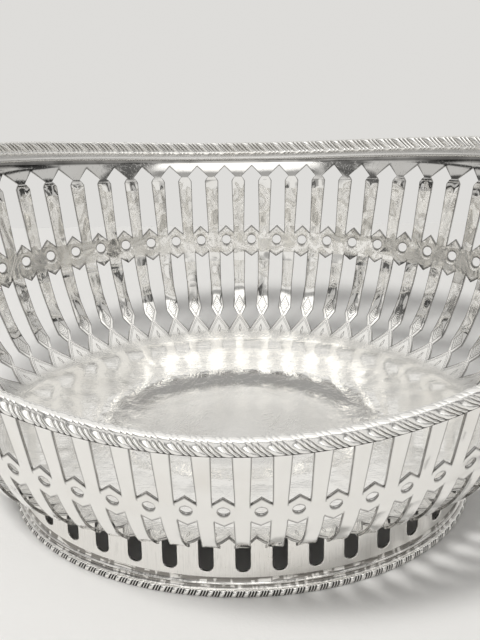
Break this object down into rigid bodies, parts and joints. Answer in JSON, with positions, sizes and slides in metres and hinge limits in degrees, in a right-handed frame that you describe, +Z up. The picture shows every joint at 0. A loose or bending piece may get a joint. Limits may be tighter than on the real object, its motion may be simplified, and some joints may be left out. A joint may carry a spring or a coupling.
{
  "type": "oval pierced basket",
  "caption": "Oval pierced metal table basket: boat-shaped slatted wall, solid floor, lobed rim border and a pierced oval foot.",
  "frame": {"origin": "under the middle of the foot, on the surface that the basket stands on", "axes": "+Z up, +X along the length of the oval, +Y across it"},
  "size_m": [0.2802, 0.2106, 0.1376],
  "materials": {
    "polished_plate": "silver plate, polished bright, with fine use scratches",
    "struck_plate": "silver plate, struck relief polished on the crests and dull in the hollows",
    "foot_plate": "silver plate, softly burnished"
  },
  "bodies": {
    "root": {"bowl": "polished_plate", "rim_border_01": "struck_plate", "rim_border_02": "struck_plate", "rim_border_03": "struck_plate", "rim_border_04": "struck_plate", "rim_border_05": "struck_plate", "rim_border_06": "struck_plate", "rim_border_07": "struck_plate", "rim_border_08": "struck_plate", "rim_border_09": "struck_plate", "rim_border_10": "struck_plate", "rim_border_11": "struck_plate", "rim_border_12": "struck_plate", "rim_border_13": "struck_plate", "rim_border_14": "struck_plate", "rim_border_15": "struck_plate", "rim_border_16": "struck_plate", "foot_collar": "foot_plate", "foot_moulding": "foot_plate", "foot_border_1": "struck_plate", "foot_border_2": "struck_plate", "foot_border_3": "struck_plate", "foot_border_4": "struck_plate", "foot_border_5": "struck_plate", "foot_border_6": "struck_plate", "foot_border_7": "struck_plate", "foot_border_8": "struck_plate"}
  },
  "joints": []
}
